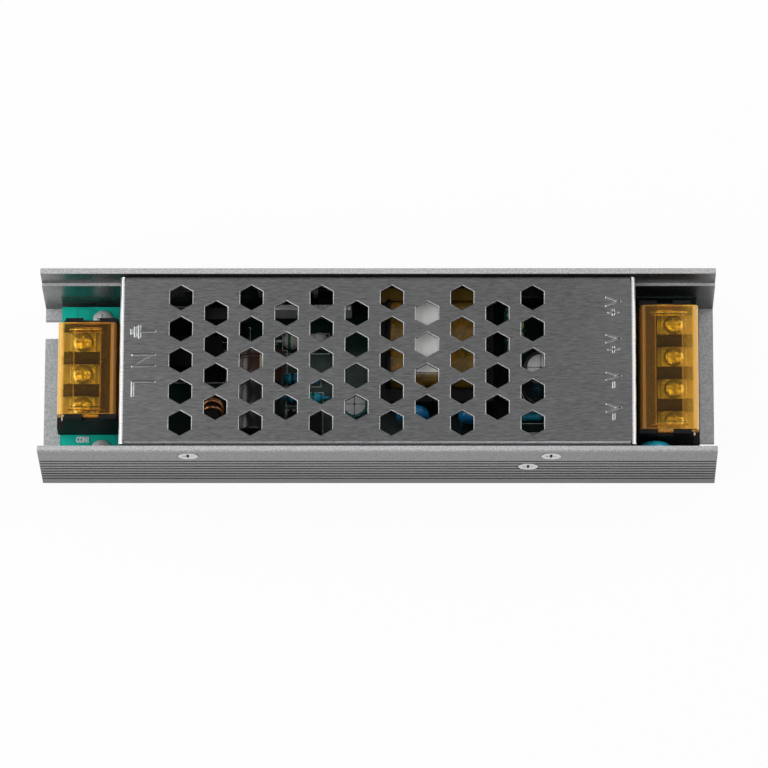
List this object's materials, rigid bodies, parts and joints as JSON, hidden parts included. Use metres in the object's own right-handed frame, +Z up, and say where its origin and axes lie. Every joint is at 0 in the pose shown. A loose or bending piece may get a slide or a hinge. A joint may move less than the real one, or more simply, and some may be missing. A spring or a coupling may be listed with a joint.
{
  "type": "led power supply",
  "caption": "Slim switched-mode power supply for LED strips in an extruded aluminium channel, with a perforated steel cover and lidded barrier terminals at both ends.",
  "frame": {"origin": "middle of the underside of the channel's floor", "axes": "+X along the length towards the output terminals, +Y across to the back wall, +Z up"},
  "size_m": [0.19, 0.054, 0.031],
  "materials": {
    "channel_aluminium": "extruded, matte blasted and clear anodised",
    "cover_steel": "brushed along the length",
    "zinc_screw": "zinc plated",
    "board_green": "glass fibre board with green solder resist",
    "standoff_nickel": "nickel plated brass",
    "clear_film": "clear insulating film",
    "terminal_black": "moulded, fine texture",
    "contact_brass": "stamped",
    "lid_amber": "clear amber moulding",
    "fuse_glass": "glass tube with plated caps",
    "thermistor_green": "dipped coating",
    "box_black": "moulded box",
    "ferrite": "sintered ferrite",
    "copper_wire": "enamelled copper",
    "moulded_black": "moulded epoxy",
    "brown_sleeve": "shrunk sleeve",
    "dark_sleeve": "shrunk sleeve",
    "teal_sleeve": "shrunk sleeve",
    "pad_grey": "silicone pad",
    "bar_aluminium": "plain bar",
    "resistor_grey": "coated body",
    "resistor_blue": "lacquered body",
    "bobbin_black": "moulded phenolic",
    "tape_amber": "polyester winding tape",
    "disc_blue": "dipped coating",
    "core_yellow": "painted powder core",
    "clamp_nickel": "nickel plated steel",
    "terminal_screw_steel": "nickel plated steel"
  },
  "bodies": {
    "root": {"chassis_channel": "channel_aluminium", "perforated_cover": "cover_steel", "cover_screws": "zinc_screw", "device_screws": "zinc_screw", "circuit_board": "board_green", "board_screws": "zinc_screw", "board_standoffs": "standoff_nickel", "insulating_film": "clear_film", "input_terminal_base": "terminal_black", "input_contacts": "contact_brass", "output_terminal_base": "terminal_black", "output_contacts": "contact_brass", "fuse": "fuse_glass", "thermistor": "thermistor_green", "suppression_capacitor": "box_black", "choke_core": "ferrite", "choke_windings": "copper_wire", "bridge_rectifier": "moulded_black", "bulk_capacitor": "brown_sleeve", "switch_transistors": "moulded_black", "transistor_pad": "pad_grey", "transistor_clamp": "bar_aluminium", "power_resistor": "resistor_grey", "film_resistors": "resistor_blue", "controller_chip": "moulded_black", "supply_capacitor": "dark_sleeve", "transformer_core": "ferrite", "transformer_bobbin": "bobbin_black", "transformer_winding": "tape_amber", "optocouplers": "moulded_black", "disc_capacitors": "disc_blue", "inductor_core": "core_yellow", "inductor_winding": "copper_wire", "output_capacitors": "teal_sleeve", "output_rectifiers": "moulded_black", "rectifier_pad": "pad_grey", "rectifier_clamp": "bar_aluminium"},
    "input_lid": {"input_terminal_cover": "lid_amber"},
    "input_clamp_1_body": {"input_clamp_1": "clamp_nickel"},
    "input_screw_1_body": {"input_screw_1": "terminal_screw_steel"},
    "input_clamp_2_body": {"input_clamp_2": "clamp_nickel"},
    "input_screw_2_body": {"input_screw_2": "terminal_screw_steel"},
    "input_clamp_3_body": {"input_clamp_3": "clamp_nickel"},
    "input_screw_3_body": {"input_screw_3": "terminal_screw_steel"},
    "output_lid": {"output_terminal_cover": "lid_amber"},
    "output_clamp_1_body": {"output_clamp_1": "clamp_nickel"},
    "output_screw_1_body": {"output_screw_1": "terminal_screw_steel"},
    "output_clamp_2_body": {"output_clamp_2": "clamp_nickel"},
    "output_screw_2_body": {"output_screw_2": "terminal_screw_steel"},
    "output_clamp_3_body": {"output_clamp_3": "clamp_nickel"},
    "output_screw_3_body": {"output_screw_3": "terminal_screw_steel"},
    "output_clamp_4_body": {"output_clamp_4": "clamp_nickel"},
    "output_screw_4_body": {"output_screw_4": "terminal_screw_steel"}
  },
  "joints": [
    {"name": "input_lid_lift", "type": "slide", "parent": "root", "child": "input_lid", "axis": [0, 0, 1], "range_m": [0, 0.025]},
    {"name": "input_clamp_1_rise", "type": "slide", "parent": "root", "child": "input_clamp_1_body", "axis": [0, 0, 1], "range_m": [0, 0.0025]},
    {"name": "input_screw_1_turn", "type": "hinge", "parent": "input_clamp_1_body", "child": "input_screw_1_body", "pos_m": [-0.0833, -0.0093, 0.0163], "axis": [0, 0, 1], "range_deg": [0, 1801]},
    {"name": "input_clamp_2_rise", "type": "slide", "parent": "root", "child": "input_clamp_2_body", "axis": [0, 0, 1], "range_m": [0, 0.0025]},
    {"name": "input_screw_2_turn", "type": "hinge", "parent": "input_clamp_2_body", "child": "input_screw_2_body", "pos_m": [-0.0833, 0.0002, 0.0163], "axis": [0, 0, 1], "range_deg": [0, 1801]},
    {"name": "input_clamp_3_rise", "type": "slide", "parent": "root", "child": "input_clamp_3_body", "axis": [0, 0, 1], "range_m": [0, 0.0025]},
    {"name": "input_screw_3_turn", "type": "hinge", "parent": "input_clamp_3_body", "child": "input_screw_3_body", "pos_m": [-0.0833, 0.0097, 0.0163], "axis": [0, 0, 1], "range_deg": [0, 1801]},
    {"name": "output_lid_lift", "type": "slide", "parent": "root", "child": "output_lid", "axis": [0, 0, 1], "range_m": [0, 0.025]},
    {"name": "output_clamp_1_rise", "type": "slide", "parent": "root", "child": "output_clamp_1_body", "axis": [0, 0, 1], "range_m": [0, 0.0025]},
    {"name": "output_screw_1_turn", "type": "hinge", "parent": "output_clamp_1_body", "child": "output_screw_1_body", "pos_m": [0.0833, 0.01485, 0.0163], "axis": [0, 0, 1], "range_deg": [0, 1801]},
    {"name": "output_clamp_2_rise", "type": "slide", "parent": "root", "child": "output_clamp_2_body", "axis": [0, 0, 1], "range_m": [0, 0.0025]},
    {"name": "output_screw_2_turn", "type": "hinge", "parent": "output_clamp_2_body", "child": "output_screw_2_body", "pos_m": [0.0833, 0.00535, 0.0163], "axis": [0, 0, 1], "range_deg": [0, 1801]},
    {"name": "output_clamp_3_rise", "type": "slide", "parent": "root", "child": "output_clamp_3_body", "axis": [0, 0, 1], "range_m": [0, 0.0025]},
    {"name": "output_screw_3_turn", "type": "hinge", "parent": "output_clamp_3_body", "child": "output_screw_3_body", "pos_m": [0.0833, -0.00415, 0.0163], "axis": [0, 0, 1], "range_deg": [0, 1801]},
    {"name": "output_clamp_4_rise", "type": "slide", "parent": "root", "child": "output_clamp_4_body", "axis": [0, 0, 1], "range_m": [0, 0.0025]},
    {"name": "output_screw_4_turn", "type": "hinge", "parent": "output_clamp_4_body", "child": "output_screw_4_body", "pos_m": [0.0833, -0.01365, 0.0163], "axis": [0, 0, 1], "range_deg": [0, 1801]}
  ],
  "couplings": [
    {"joint": "input_screw_1_turn", "follows": "input_clamp_1_rise", "rad_per_m": 12566},
    {"joint": "input_screw_2_turn", "follows": "input_clamp_2_rise", "rad_per_m": 12566},
    {"joint": "input_screw_3_turn", "follows": "input_clamp_3_rise", "rad_per_m": 12566},
    {"joint": "output_screw_1_turn", "follows": "output_clamp_1_rise", "rad_per_m": 12566},
    {"joint": "output_screw_2_turn", "follows": "output_clamp_2_rise", "rad_per_m": 12566},
    {"joint": "output_screw_3_turn", "follows": "output_clamp_3_rise", "rad_per_m": 12566},
    {"joint": "output_screw_4_turn", "follows": "output_clamp_4_rise", "rad_per_m": 12566}
  ]
}
